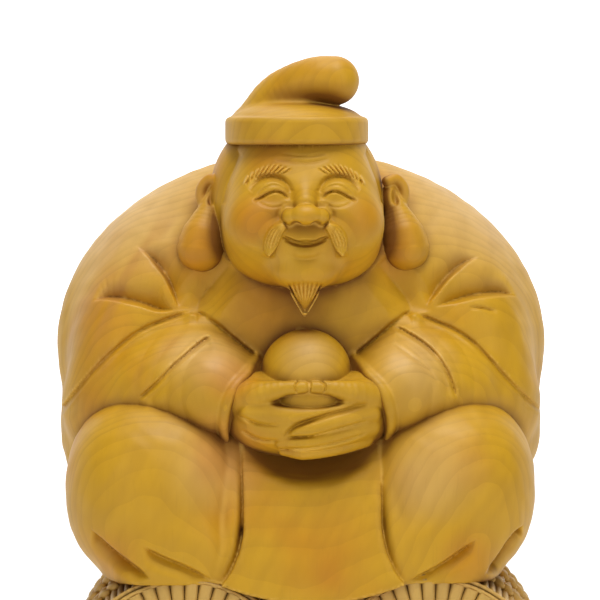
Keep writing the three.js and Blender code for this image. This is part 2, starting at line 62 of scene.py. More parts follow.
BALE_Z = BALE_RADIUS - UNDERSIDE_CUT
SEAT_Z = BALE_Z + BALE_RADIUS
MIDDLE_X, MIDDLE_Y = 0.49, -1.61  # of the whole, measured from the figure's seat
SEAT = np.array((-MIDDLE_X, -MIDDLE_Y, SEAT_Z))
HALF = BALE_LENGTH / 2

# Straw work that only the finished piece has
SIDE_STRAWS, STRAND_TURNS, TWINE_PIECES = 84, 66, 92
STRAW_SINK = 0.75  # of the plain body under the straws

COARSE = 1.0


# Camera

def linked(name, data):
    """A new object in the scene that holds the data."""
    obj = bpy.data.objects.new(name, data)
    bpy.context.scene.collection.objects.link(obj)
    return obj


def aim(thing, place, target):
    thing.location = place
    thing.rotation_euler = (Vector(target) - Vector(place)).to_track_quat("-Z", "Y").to_euler()


def around(azimuth, elevation, distance, centre):
    a, e = radians(azimuth), radians(elevation)
    step = Vector((sin(a) * cos(e), -cos(a) * cos(e), sin(e)))
    return Vector(centre) + step * distance


lens = bpy.data.cameras.new("camera")
lens.sensor_width, lens.lens = 36.0, 210.0
lens.clip_start, lens.clip_end = 0.05, 20.0
camera = linked("camera", lens)
bpy.context.scene.camera = camera
AIM = (-MIDDLE_X * 0.001, -MIDDLE_Y * 0.001, 0.093)
aim(camera, around(-2.5, 4.0, 0.7, AIM), AIM)


# Forms as fields. A field takes an array of points and gives an array of distances.

def near_only(centre, reach, exact, margin=7.0):
    """The exact field near a form, and the distance to a ball around it elsewhere."""
    centre = np.asarray(centre, np.float32)

    def field(p):
        d = np.sqrt(((p - centre) ** 2).sum(1)) - reach
        near = d < margin
        if near.all():
            return exact(p)
        if near.any():
            d[near] = exact(p[near])
        return d
    return field


def egg(centre, radii, power=2.0):
    """A swelling round form. A higher power squares it up."""
    c = np.asarray(centre, np.float32)
    r = np.asarray(radii, np.float32)

    def exact(p):
        a = np.abs(p - c) / r
        b = a if power == 2 else a ** np.float32(power - 1)
        total = (a * b).sum(1)
        k = (np.sqrt(total) if power == 2 else total ** np.float32(1 / power)) + 1e-6
        slope = np.sqrt(((b / r) ** 2).sum(1)) / (k if power == 2 else k ** np.float32(power - 1)) + 1e-6
        return (k - 1) / slope
    return near_only(c, float(r.max()) * (1.3 if power > 2 else 1.0), exact)


def smooth_line(points, steps=4):
    """A centripetal Catmull-Rom line through the points."""
    pts = [np.asarray(p, float) for p in points]
    pts = [2 * pts[0] - pts[1], *pts, 2 * pts[-1] - pts[-2]]
    out = []
    for i in range(1, len(pts) - 2):
        p0, p1, p2, p3 = pts[i - 1:i + 3]
        pairs = ((p0, p1), (p1, p2), (p2, p3))
        d0, d1, d2 = (max(float(((b - a)[:3] ** 2).sum()) ** 0.25, 1e-4) for a, b in pairs)
        t1 = ((p1 - p0) / d0 - (p2 - p0) / (d0 + d1) + (p2 - p1) / d1) * d1
        t2 = ((p2 - p1) / d1 - (p3 - p1) / (d1 + d2) + (p3 - p2) / d2) * d1
        for k in range(steps):
            t = k / steps
            a, b = -2 * p2 + 2 * p1 + t1 + t2, 3 * (p2 - p1) - 2 * t1 - t2
            out.append(p1 + t1 * t + b * t * t + a * t ** 3)
    out.append(pts[-2])
    return np.asarray(out)


def bar(points, steps=4):
    """A round bar along a smooth line. Each point is x, y, z and radius."""
    line = smooth_line([p[:3] for p in points], steps)
    widths = np.interp(np.linspace(0, len(points) - 1, len(line)), range(len(points)), [p[3] for p in points])
    middle = line[len(line) // 2]
    reach = float((np.linalg.norm(line - middle, axis=1) + widths).max())

    def exact(p):
        best = np.full(len(p), np.inf, np.float32)
        for a, b, ra, rb in zip(line[:-1], line[1:], widths[:-1], widths[1:]):
            u = (b - a).astype(np.float32)
            v = p - a.astype(np.float32)
            t = np.clip((v @ u) / (u @ u), 0, 1)
            best = np.minimum(best, np.sqrt(((v - t[:, None] * u) ** 2).sum(1)) - ra - (rb - ra) * t)
        return best
    return near_only(middle, reach, exact)


def soft(a, b, radius):
    """The smaller of two distances, rounded off where they are close."""
    h = np.maximum(radius - np.abs(a - b), 0) / radius
    return np.minimum(a, b) - h * h * (radius / 4)


def joined(radius, *forms):
    """The forms together, with a soft fillet between them."""
    def field(p):
        d = forms[0](p)
        for form in forms[1:]:
            d = soft(d, form(p), radius)
        return d
    return field


def hollowed(radius, form, *tools):
    """The form less the tools, with softened edges."""
    def field(p):
        d = form(p)
        for tool in tools:
            d = -soft(-d, tool(p), radius)
        return d
    return field


def both_sides(form):
    """The form on the viewer's right and its mirror image on the left."""
    def field(p):
        q = p.copy()
        q[:, 0] = np.abs(q[:, 0])
        return form(q)
    return field


def mirrored(points):
    return [(-p[0], *p[1:]) for p in points]


def stroke(points, depth, width, kind="groove", fade=0.25, foot=1.3, sharp=1.6):
    """Carving drawn along x, z points. A depth below 0 raises a ridge.

    A groove is even. A crease falls gently into the line from its right, and steeply from its left, where it
    is only as wide as its foot.
    """
    line = smooth_line([(x, 0.0, z) for x, z in points], 5)[:, [0, 2]]
    low, high = line.min(0) - width, line.max(0) + width
    n = len(line) - 1

    def cut(x, z):
        out = np.zeros(len(x), np.float32)
        here = (x > low[0]) & (x < high[0]) & (z > low[1]) & (z < high[1])
        if not here.any():
            return out
        x, z = x[here], z[here]
        best = np.full(len(x), np.inf)
        side, along = np.zeros(len(x)), np.zeros(len(x))
        for i in range(n):
            (ax, az), (bx, bz) = line[i], line[i + 1]
            ux, uz = bx - ax, bz - az
            vx, vz = x - ax, z - az
            t = np.clip((ux * vx + uz * vz) / (ux * ux + uz * uz), 0, 1)
            d = np.hypot(vx - ux * t, vz - uz * t)
            closer = d < best
            best = np.where(closer, d, best)
            side = np.where(closer, uz * vx - ux * vz, side)
            along = np.where(closer, (i + t) / n, along)
        ends = np.clip(np.minimum(along, 1 - along) / fade, 0, 1)
        if kind == "crease":
            ends = ends * ends * (3 - 2 * ends)
            narrow = 0.15 + 0.85 * ends
            value = np.where(side > 0, np.clip(1 - best / (width * narrow), 0, 1) ** 1.9,
                             np.clip(1 - best / (foot * narrow), 0, 1) ** 1.4)
        else:
            ends = np.sqrt(ends)
            value = np.clip(1 - best / width, 0, 1) ** sharp
        out[here] = depth * value * ends
        return out
    return cut


def engraved(form, strokes, start, facing=-1):
    """The form with strokes cut into the side that faces along Y, from the start outwards."""
    def field(p):
        d = form(p)
        here = (np.abs(d) < 3) & (facing * p[:, 1] > start)
        if here.any():
            x, z = p[here, 0], p[here, 2]
            d[here] += sum(s(x, z) for s in strokes)
        return d
    return field


def by_hand(form):
    """The slight unevenness that the knife leaves."""
    def field(p):
        x, y, z = p.T
        wander = np.sin(0.8 * x + np.sin(0.5 * z)) * np.sin(0.7 * z + 0.6 * y + np.sin(0.6 * x))
        return form(p) + 0.07 * wander
    return field


def both_strokes(points, left=None, **how):
    """The stroke on both sides, mirrored. The left side's own points may be given, unmirrored."""
    return [stroke(points, **how), stroke(mirrored(left or points)[::-1], **how)]


def clipped(form, plane):
    """Keeps the form where the plane function is negative."""
    def field(p):
        return np.maximum(form(p), plane(p))
    return field


# The figure

def cap_form():
    round_ = egg((-1.2, -12.5, 83), (14, 16, 60), 2.2)
    band = hollowed(1.2, round_, lambda p: 2.7 - np.abs(p[:, 2] - 83.1 + 0.02 * (p[:, 1] + 12.5)))
    crown = egg((-1.2, -12.5, 84.6), (13, 15, 4.2), 2.2)
    rise = [(-6.4, -9.5, 84, 6.6), (-4.2, -11.4, 88.8, 5.4), (-0.6, -14, 91.6, 4.8)]
    tail = [(2.8, -15.6, 92.9, 4.7), (6, -16.4, 92.9, 4.8)]
    return joined(0.6, band, joined(2, crown, bar(rise)), bar(rise + tail))


def face_form():
    skull = joined(
        4, egg((0, -13, 74.5), (13.4, 14.2, 14), 2.3), egg((0, -16.5, 65.8), (15.9, 15, 13.6), 2.5))
    flesh = joined(
        3, skull,
        both_sides(egg((8.6, -26, 65.5), (6.6, 6.4, 6.2))),
        egg((0, -28.5, 56.6), (6.2, 4.6, 3.8)),
        egg((0, -29.2, 62.4), (6.6, 3.6, 3.8)),
    )
    sockets = hollowed(2, flesh, both_sides(egg((6.3, -33, 73.2), (4.6, 2.6, 3))))
    lids = joined(1, sockets, both_sides(egg((6.3, -27.4, 71.6), (4, 3.3, 3.2))))
    nose = joined(
        0.7,
        bar([(0, -25.6, 76, 1.6), (0, -27.8, 73, 2), (0, -31, 69.6, 2.3)]),
        egg((0, -33.9, 67.6), (3.1, 2.6, 2)),
        both_sides(egg((3.1, -32.7, 67.2), (1.5, 2.2, 1.6))),
    )
    nostrils = both_sides(egg((1.9, -34.6, 65.7), (1, 1.9, 0.75)))
    beard = bar([(0, -27.8, 56, 3.6), (0, -29.2, 53, 2.8), (0, -29.4, 50.4, 1.5), (0, -29, 48.2, 0.4)])
    lip = bar([(-3.2, -31.3, 61.5, 0.5), (-1.4, -32.1, 60.5, 1), (1.4, -32.1, 60.5, 1),
               (3.2, -31.3, 61.5, 0.5)])
    middle = hollowed(0.4, joined(0.9, lids, nose), nostrils)
    return joined(0.5, middle, beard, lip)


def whisker_ridges():
    """The moustache: locks that start beside the nose, swing out and meet again in a point."""
    def lock(share):
        return [(3.7 + 0.5 * share, 65.4 + 0.5 * share), (4.8 + 1.2 * share, 64.2 + 0.9 * share),
                (5.5 + 1.8 * share, 62.5 + 0.3 * share), (6.2 + 1.3 * share, 60.9), (7.1, 59.4)]
    ridges = both_strokes(lock(0.5), depth=-0.8, width=1.3, fade=0.2, sharp=0.5)
    for share in np.linspace(-0.2, 1.2, 5):
        ridges += both_strokes(lock(share), depth=-0.65, width=0.36, fade=0.15, sharp=0.9)
    return ridges


def face_cuts():
    """The eyes, lids, lips and wrinkles, then the brows and the beard hair by hair."""
    eye = [(3.3, 70.5), (4.3, 71.5), (5.6, 71.9), (7, 71.5), (8.4, 70.7), (9.9, 70)]
    lid = [(3.6, 72), (4.7, 72.8), (6.1, 73.1), (7.7, 72.5), (9.2, 71.2)]
    crease = [(2.7, 71.7), (3.2, 73), (4.6, 74.2), (6.4, 74.6), (8.2, 74.2), (9.6, 73), (10.5, 71.9)]
    lower = [(3.6, 69.9), (4.8, 69.1), (6.3, 68.9), (7.8, 69.3), (9, 70)]
    upper_lip = [(-4.5, 63.4), (-3, 63), (-1.6, 62.45), (0, 62.6), (1.6, 62.45), (3, 63), (4.5, 63.4)]
    mouth = [(-3.9, 63), (-2.2, 62.2), (0, 61.9), (2.2, 62.2), (3.9, 63)]
    under_lip = [(-3.4, 60.2), (-1.6, 59.1), (0, 58.9), (1.6, 59.1), (3.4, 60.2)]
    temple = [(12.6, 79.9), (14.2, 76.2), (15.6, 72.4), (16.4, 68.6)]
    cuts = [
        *whisker_ridges(),
        *both_strokes(eye, depth=0.85, width=0.38, fade=0.3, sharp=1.0),
        *both_strokes(lid, depth=0.25, width=0.4),
        *both_strokes(crease, depth=0.9, width=1.0, fade=0.3, sharp=1.3),
        *both_strokes([(2.4, 72.4), (2.9, 71.2), (3, 70.2)], depth=0.4, width=1.4, fade=0.4),
        *both_strokes(lower, depth=0.2, width=0.5),
        stroke(upper_lip, depth=0.55, width=0.35, fade=0.06, sharp=0.8),
        stroke(mouth, depth=1.2, width=0.6, fade=0.2, sharp=0.7),
        stroke(under_lip, depth=0.3, width=1.2, fade=0.4),
        stroke([(-4.4, 79), (-1.3, 78.6), (1.6, 78.6), (4.2, 79)], depth=0.2, width=0.6),
        stroke([(-5.6, 78), (-1.5, 77.4), (1.6, 77.4), (4.6, 78)], depth=0.28, width=0.7),
        *both_strokes([(4.3, 69.2), (5.2, 67.8), (4.9, 66.5)], depth=0.3, width=0.8, fade=0.4),
        *both_strokes([(4.9, 67.4), (7.4, 66.2), (9.3, 63.8), (9.9, 61.6)], depth=0.45, width=2.2),
        *both_strokes(temple, depth=1.5, width=1.8, kind="crease", fade=0.1, foot=0.4),
    ]
    for i in range(9):
        x, z = 2.6 + 0.96 * i, 76.9 - 0.08 * (i - 3) ** 2
        hair = [(x, z), (x + 1.9 - 0.13 * i, z - min(0.95 + 0.4 * i, 2) + 0.05 * max(i - 5, 0))]
        cuts += both_strokes(hair, depth=0.36, width=0.28, fade=0.35, sharp=1.2)
        cuts += both_strokes([(hx + 0.48, hz) for hx, hz in hair], depth=-0.42, width=0.4, fade=0.4)
    for share in np.linspace(-0.95, 0.95, 8):
        hair = [(3.4 * share, 54.8 - 0.4 * share * share), (2.1 * share, 52), (0.3 * share, 48.6)]
        cuts.append(stroke(hair, depth=0.65, width=0.36, fade=0.3, sharp=1.2))
    return cuts


def ear_form():
    rim = bar([(18.3, -12.8, 66.8, 1), (19.6, -12.4, 69.2, 1.2), (19.7, -12.4, 71.8, 1.2),
               (18.2, -13, 73.6, 1.1), (16.4, -14, 73.2, 1)])
    lobe = bar([(17.6, -13.4, 69.6, 1.4), (18.6, -14, 66.4, 2.7), (19.6, -15, 62.4, 4.3),
                (19.9, -15.2, 60.2, 4.8)])
    inner = egg((17, -12.6, 69.8), (1.6, 2.4, 3), 2.2)
    bowl = egg((18.1, -15.6, 70.6), (0.9, 2, 2))
    return hollowed(0.4, joined(0.8, rim, lobe, inner), bowl)


def head_form():
    hair = egg((-1.2, -10, 68), (17.2, 13.6, 18.4), 2.3)
    face = engraved(face_form(), face_cuts(), 15)
    aside = np.array((0.35, 0, 0), np.float32)
    return joined(0.3, lambda p: face(p + aside), hair, both_sides(ear_form()))


def hem(p):
    """The robe's lower edge, which dips under the apron."""
    return -2.8 - 3.6 * np.clip(1 - ((p[:, 0] - 0.9) / 17.8) ** 2, 0, 1) - p[:, 2]


def back_form():
    return joined(4, egg((0.5, 5, 40), (49.1, 28, 38.6)), egg((0.3, 4, 23), (48.2, 29, 19), 2.4))


def sleeves_form():
    chest = egg((0, -7, 44), (24, 17, 22), 2.2)
    upper_arm = bar([(26, -1, 54, 13), (31.6, -6, 44, 13), (34, -9, 32, 12.6)])
    forearm = joined(
        3, bar([(35.4, -7, 28.8, 12), (27.5, -15.5, 32, 12), (18, -25, 33, 9)]),
        bar([(24.5, -13.6, 40, 8), (17, -19.6, 37.6, 7.4), (11.4, -23.2, 34.6, 5.6)]))
    cuff = bar([(9.8, -24.4, 39.4, 0.8), (11.6, -30.4, 36.8, 1.1), (14.3, -33.2, 34, 1.2),
                (15.6, -33.5, 31, 1.2), (16.1, -31.8, 27.4, 1.1), (15.6, -29, 24, 0.8)])
    body = joined(3, back_form(), chest, both_sides(upper_arm))
    return joined(1.5, body, both_sides(joined(0.8, forearm, cuff)))


def beside(points):
    """A line a little below another one, on the side of the middle."""
    return [(x - 0.5, z - 0.55) for x, z in points]


def sleeve_cuts():
    """The seams across the sleeves, the collar and the folds at the armpits. Each side has its own points."""
    outer = [(21.5, 47.9), (25.5, 46.2), (29.4, 44.5), (32.8, 42.2), (35.6, 39.4), (39.2, 35.3), (42.9, 31.6),
             (48.5, 26.6)]
    outer_left = [(21.5, 48.3), (26.7, 46.7), (32.5, 44.2), (38.2, 39.6), (43.9, 33.1), (49, 25.6)]
    inner = [(17.2, 45.5), (20.7, 43.7), (23.6, 41.7), (25.7, 39.5), (27.6, 36.2), (29.1, 31.6)]
    inner_left = [(18.2, 43.9), (21.2, 41.9), (25.2, 38.7), (28.6, 35.3), (32.5, 31.7)]
    collar = [(20.9, 47.4), (20.3, 50.2), (17.7, 53.4), (14.4, 57.4)]
    sleeve_top = [(9.2, 39.6), (12.4, 42), (15.2, 44.2), (18, 46.4), (21.2, 48.2)]
    armpit = [(35.5, 58.6), (31.7, 57.1), (28, 54.3), (25, 50.7), (23.8, 48.7)]
    armpit_left = [(32.9, 60.8), (29.5, 58.1), (26.7, 54.8), (25, 50.9), (24.4, 48.6)]
    elbow = [(42.7, 50.3), (39.2, 51), (33.7, 50.9), (29, 49.8), (24.9, 48.7)]
    elbow_left = [(41.6, 49.7), (38.1, 50.5), (32.4, 49.8), (27.9, 48.4), (24.4, 48.4)]
    return [
        *both_strokes(outer, outer_left, depth=0.7, width=3.4, kind="crease", fade=0.1, foot=0.5),
        *both_strokes(inner, inner_left, depth=0.8, width=3.4, kind="crease", fade=0.1, foot=0.5),
        *both_strokes(beside(outer), beside(outer_left), depth=-0.3, width=0.8, fade=0.1),
        *both_strokes(beside(inner), beside(inner_left), depth=-0.35, width=0.8, fade=0.1),
        stroke([(16.8, 42.4), (20.4, 40), (23.4, 37.6), (25.2, 35)], depth=0.4, width=0.7),
        *both_strokes(collar, depth=2.6, width=4.6, fade=0.4, sharp=1.1),
        *both_strokes(sleeve_top, depth=1.1, width=2.6, kind="crease", fade=0.1, foot=0.8),
        *both_strokes(armpit, armpit_left, depth=2.4, width=6, kind="crease", fade=0.4, foot=0.7),
        *both_strokes(elbow, elbow_left, depth=3, width=6, kind="crease", fade=0.4, foot=0.7),
        stroke([(32.4, 48.7), (34.8, 48.5), (37.8, 47.7)], depth=0.6, width=0.6),
    ]


def back_cuts():
    """Long plain folds of the robe down the back."""
    side = [(9, 67), (22, 56), (32, 42), (37, 26), (38, 12)]
    middle = [(17, 8), (15, 22), (9, 36), (3, 46)]
    between = [(29, 0), (30, 12), (25, 28), (17, 40)]
    neck = [(0.2, 66), (7, 67), (12, 70)]
    return [
        *both_strokes(side, depth=1.1, width=7, kind="crease", fade=0.3, foot=1.4),
        *both_strokes(middle, depth=0.9, width=6, kind="crease", fade=0.35, foot=1.3),
        *both_strokes(between, depth=0.7, width=5, kind="crease", fade=0.35, foot=1.2),
        *both_strokes(neck, depth=0.6, width=1.2, fade=0.3),
    ]


def apron(p):
    """The cloth hanging between the knees, coming forward and wider to the hem."""
    x, y, z = np.abs(p[:, 0] - 0.9), p[:, 1], p[:, 2]
    half = 13.5 + 0.0275 * np.maximum(9 - z, 0) ** 2
    front = -37.8 + 0.0095 * (z + 6) ** 2
    return np.maximum.reduce([front - y, x - half, z - 24, y - 20])


def lap_form():
    back = back_form()

    def under(p):
        """The back again, just inside the upper piece and further in towards the front."""
        return back(p) + 0.06 + 0.3 * np.clip(-4 - p[:, 1], 0, 9)
    seat = joined(3, egg((-0.6, 2, 13), (45, 33, 19), 2.8), clipped(under, lambda p: p[:, 2] - 31))
    knees = [
        joined(3, egg((x, -18, 13.6), (half, 19.8, 18.6), 2.3),
               egg((0.9 * x, -15, 2), (0.74 * half, 22.6, 10), 3.4))
        for x, half in ((-28.6, 17.9), (27.5, 17.6))
    ]
    welts = [
        bar([(x, -27.2, 24, 1.8), (x, -30.8, 16, 2), (x + 0.1 * s, -33.1, 9, 2), (x + 0.8 * s, -34.1, 3, 1.9),
             (x + 3.2 * s, -34.7, -3, 1.6)])
        for x, s in ((-14.1, -1), (15.9, 1))
    ]
    under_hands = egg((0.9, -36.5, 26.6), (15, 11, 10.6), 2.2)
    return hollowed(1.6, joined(0.7, joined(1.6, seat, *knees, *welts), apron), under_hands)


def lap_cuts():
    outer = [(41.8, 7.7), (39.2, 5.1), (36.4, 1.2), (33.6, -1.6)]
    outer_left = [(41.6, 7.7), (37.8, 4.1), (33, 0.7), (29.8, -1.7)]
    inner = [(32.4, 5.9), (28.9, 3.3), (23.6, -0.1), (18.6, -2.4)]
    inner_left = [(31.7, 5), (28.2, 2.8), (23.5, 0.8), (17.5, -2.3)]
    beside_apron = [(14.5, 23), (14.5, 9), (15.4, 3), (17.6, -2)]
    beside_apron_left = [(12.7, 23), (12.7, 9), (13.6, 3), (15.8, -2)]
    return [
        *both_strokes(beside_apron, beside_apron_left, depth=0.45, width=1.6, fade=0.3, sharp=1.2),
        *both_strokes(outer[::-1], outer_left[::-1], depth=2.2, width=3.6, kind="crease", foot=0.6),
        *both_strokes(inner[::-1], inner_left[::-1], depth=1.8, width=3.4, kind="crease", foot=0.6),
    ]


def hands_form():
    """Both hands round the jewel. One's fingers lie over the other's, and the thumbs meet above a gap."""
    fist = egg((0.2, -25.4, 29.4), (16.2, 11.6, 8.8), 2.5)
    closed = hollowed(1, fist, lambda p: 35.1 + 0.03 * p[:, 0] ** 2 - p[:, 2])
    gap = hollowed(0.5, closed, egg((-0.3, -38.5, 32.2), (8, 6, 1.7)))
    thumb = bar([(13.4, -30.8, 32.6, 3.3), (8.6, -34.2, 33.6, 2.4), (4.2, -35.8, 34.7, 1.4),
                 (0.9, -36.2, 34.9, 1.15)])
    root = egg((9.8, -28.6, 31.6), (5.4, 6.2, 5.6))
    low = egg((0.4, -32.2, 32.4), (6.2, 3.9, 4.2))
    under = bar([(-11, -33.4, 29.8, 2.2), (-4, -35.8, 29.5, 1.6), (2, -36.2, 29.7, 1.2),
                 (6.5, -35.4, 30.6, 0.7)])
    over = [
        bar([(12, -32.6, 29.6, 2.2), (6, -35.6, 28.4, 2), (1, -36.3, 27, 1.8), (-2.6, -35.8, 26.6, 1.3)]),
        bar([(12, -32, 27, 2.1), (6, -35.2, 25.4, 1.9), (0, -35.7, 24.4, 1.8), (-5.2, -34.7, 24.2, 1.2)]),
        bar([(11, -31, 24.6, 1.9), (5, -33.8, 23.2, 1.7), (-1, -34.2, 22.4, 1.6), (-4.6, -33.2, 22.5, 1)]),
    ]
    return joined(0.3, joined(0.5, gap, both_sides(joined(1, thumb, root)), low, under), *over)


def hand_cuts():
    """The thumbs' nails and the lines between the fingers."""
    over_top = [(11.4, 31.6), (7, 30.6), (2, 29.3), (-2.6, 27.4), (-4.6, 25.6)]
    return [
        stroke([(0.4, 36.4), (0.4, 35.2), (0.3, 34)], depth=0.4, width=0.32),
        stroke([(2.2, 36), (3, 35.7), (3.3, 35), (3.1, 34.4), (2.6, 34)], depth=0.45, width=0.36),
        stroke([(-1.8, 36), (-2.4, 35.6), (-2.6, 35), (-2.5, 34.4), (-2, 34)], depth=0.45, width=0.36),
        stroke(over_top, depth=0.7, width=0.8, fade=0.15),
        stroke([(11.5, 28.4), (5, 26.9), (0, 25.6), (-4.4, 25.1)], depth=0.45, width=0.6, fade=0.2),
        stroke([(11, 25.9), (5, 24.4), (0, 23.4), (-4.4, 23.2)], depth=0.45, width=0.6, fade=0.2),
        stroke([(-5.5, 27.6), (-9.5, 27.9), (-13, 29.4)], depth=0.5, width=0.6),
        stroke([(-5.5, 24.6), (-9.5, 24.9), (-12.5, 26.4)], depth=0.5, width=0.6),
    ]


def jewel_form():
    return egg((0, -27, 36.5), (8.8, 8.8, 8.8))


CAP = cap_form()
HEAD = head_form()
SLEEVES = engraved(engraved(sleeves_form(), sleeve_cuts(), 2), back_cuts(), 9, facing=1)
SLEEVES = clipped(by_hand(SLEEVES), lambda p: 6 - p[:, 2])
LAP = engraved(engraved(lap_form(), lap_cuts(), 2), back_cuts(), 9, facing=1)
LAP = clipped(by_hand(LAP), hem)
HANDS = joined(0.3, engraved(hands_form(), hand_cuts(), 20), jewel_form())


def along_bale(p, x):
    """How far across and along a bale the points are, from its middle."""
    across, along = p[:, 0] - x, p[:, 1] - BALE_Y
    return across * cos(BALE_TURN) - along * sin(BALE_TURN), across * sin(BALE_TURN) + along * cos(BALE_TURN)


def bale_skin(y):
    """The radius of a bale at that place along it."""
    return RIM_RADIUS + (BALE_RADIUS - RIM_RADIUS) * (1 - (y / HALF) ** 2)


def bales_near(p):
    """The bales as plain barrels, for finding hollows."""
    nearest = np.full(len(p), 99.0)
    for x in BALE_PLACES:
        across, along = along_bale(p, x)
        round_ = np.hypot(across, p[:, 2] + BALE_RADIUS) - BALE_RADIUS + 1
        nearest = np.minimum(nearest, np.maximum(round_, np.abs(along) - HALF))
    return nearest


def whole(p):
    """The figure and the bales together."""
    d = bales_near(p)
    for form in (CAP, HEAD, SLEEVES, LAP, HANDS):
        d = np.minimum(d, form(p))
    return d


# Meshing a field

workers = ThreadPoolExecutor(4)


def shared_out(field, points):
    """The field at many points, worked out by several threads."""
    parts = np.array_split(points.astype(np.float32), max(1, len(points) // 40000))
    return np.concatenate(list(workers.map(field, parts)))


def sampled(field, low, high, cell):
    """The field on a fine grid, worked out only in the blocks of 8 near its surface."""
    size = 8
    low = np.asarray(low, float)
    counts = np.ceil((np.asarray(high) - low) / (cell * size)).astype(int)
    block = np.stack(np.meshgrid(*(np.arange(n) for n in counts), indexing="ij"), -1).reshape(-1, 3)
    middle = low + (block * size + (size - 1) / 2) * cell
    rough = shared_out(field, middle)
    reach = cell * size * 0.9 + 1.0
    near = np.abs(rough) < reach
    values = np.repeat(np.where(rough < 0, -reach, reach).astype(np.float32), size ** 3)
    values = values.reshape(-1, size, size, size)
    step = np.stack(np.meshgrid(*(np.arange(size),) * 3, indexing="ij"), -1).reshape(-1, 3)
    points = (low + (block[near][:, None] * size + step) * cell).reshape(-1, 3)
    values[near] = shared_out(field, points).reshape(-1, size, size, size)
    values = values.reshape(*counts, size, size, size).transpose(0, 3, 1, 4, 2, 5)
    return np.ascontiguousarray(values).reshape(*(counts * size))


def netted(values, low, cell):
    """A closed skin of quads over the grid's negative part."""
    inside = values < 0
    shape = np.array(values.shape) - 1
    corners = [(a, b, c) for a in (0, 1) for b in (0, 1) for c in (0, 1)]
    total = np.zeros(shape, np.uint8)
    for a, b, c in corners:
        total += inside[a:a + shape[0], b:b + shape[1], c:c + shape[2]]
    crossed = (total > 0) & (total < 8)
    number = np.full(shape, -1, np.int32)
    cells = np.argwhere(crossed)
    number[crossed] = np.arange(len(cells))
    places, hits = np.zeros((len(cells), 3)), np.zeros(len(cells))
    for start in corners:
        for axis in range(3):
            if start[axis]:
                continue
            end = list(start)
            end[axis] = 1
            a = values[tuple((cells + start).T)]
            b = values[tuple((cells + end).T)]
            cross = (a < 0) != (b < 0)
            t = a[cross] / (a[cross] - b[cross])
            at = np.tile(np.asarray(start, float), (len(t), 1))
            at[:, axis] = t
            places[cross] += at
            hits[cross] += 1
    verts = np.asarray(low) + (cells + places / hits[:, None]) * cell
    quads = []
    for axis in range(3):
        u, v = np.eye(3, dtype=int)[(axis + 1) % 3], np.eye(3, dtype=int)[(axis + 2) % 3]
        here = np.take(inside, range(values.shape[axis] - 1), axis)
        there = np.take(inside, range(1, values.shape[axis]), axis)
        for outward, change in ((True, here & ~there), (False, ~here & there)):
            g = np.argwhere(change)
            g = g[(g - u - v >= 0).all(1) & (g < shape).all(1)]
            ring = [number[tuple((g - s).T)] for s in (0 * u, u, u + v, v)]
            quads.append(np.stack(ring if outward else ring[::-1], 1))
    return verts, np.concatenate(quads)


def settled(field, verts, cell):
    """Moves each point onto the field's surface."""
    for _ in range(2):
        d = shared_out(field, verts)
        e = 0.2 * cell
        g = np.stack([(shared_out(field, verts + e * s) - d) / e for s in np.eye(3)], 1)
        size = np.sqrt((g ** 2).sum(1)) + 1e-6
        move = np.clip(d / size, -0.4 * cell, 0.4 * cell)
        verts = verts - g * (move / size)[:, None]
    return verts


def mesh_of(name, verts, faces):
    """A smooth mesh from point and face arrays, in metres."""
    mesh = bpy.data.meshes.new(name)
    sides = faces.shape[1]
    mesh.vertices.add(len(verts))
    mesh.vertices.foreach_set("co", (np.asarray(verts, np.float32) * 0.001).ravel())
    mesh.loops.add(faces.size)
    mesh.loops.foreach_set("vertex_index", faces.astype(np.int32).ravel())
    mesh.polygons.add(len(faces))
    mesh.polygons.foreach_set("loop_start", np.arange(len(faces), dtype=np.int32) * sides)
    mesh.update(calc_edges=True)
    mesh.validate()
    mesh.polygons.foreach_set("use_smooth", np.ones(len(mesh.polygons), bool))
    return mesh


def evaluated(obj):
    """The object's mesh with its modifiers made real and removed."""
    made = bpy.data.meshes.new_from_object(obj.evaluated_get(bpy.context.evaluated_depsgraph_get()))
    obj.modifiers.clear()
    old, obj.data = obj.data, made
    bpy.data.meshes.remove(old)
    return made


def thinned(obj, triangles):
    """Merges the flattest stretches until the piece has about that many triangles."""
    now = sum(len(p.vertices) - 2 for p in obj.data.polygons)
    if now <= triangles:
        return
    tool = obj.modifiers.new("thin", "DECIMATE")
    tool.ratio = triangles / now
    tool.use_collapse_triangulate = True
    evaluated(obj)


def read(items, attribute, width=1, kind=np.float32):
    """One attribute of a mesh's points, edges, corners or faces, as an array with a row for each."""
    values = np.empty(len(items) * width, kind)
    items.foreach_get(attribute, values)
    return values.reshape(-1, width) if width > 1 else values


def store(mesh, name, values):
    """Keeps a value from 0 to 1 for each point of a mesh, for the painted shade, patina and highlights on the
    wood.
    """
    layer = mesh.attributes.new(name, "FLOAT", "POINT")
    layer.data.foreach_set("value", np.clip(values, 0, 1).astype(np.float32))


def normals(mesh, rounds=0):
    """The outward direction at each point of a mesh, evened out over that many rounds of neighbours."""
    n = len(mesh.vertices)
    pull = read(mesh.polygons, "normal", 3) * read(mesh.polygons, "area")[:, None]
    pull = np.repeat(pull, read(mesh.polygons, "loop_total", kind=np.int32), axis=0)
    corner = read(mesh.loops, "vertex_index", kind=np.int32)
    out = np.stack([np.bincount(corner, pull[:, k], n) for k in range(3)], 1)
    a, b = read(mesh.edges, "vertices", 2, np.int32).T
    for step in range(rounds + 1):
        out /= np.linalg.norm(out, axis=1)[:, None] + 1e-12
        if step < rounds:
            out = out + np.stack(
                [np.bincount(a, out[b, k], n) + np.bincount(b, out[a, k], n) for k in range(3)], 1)
    return out


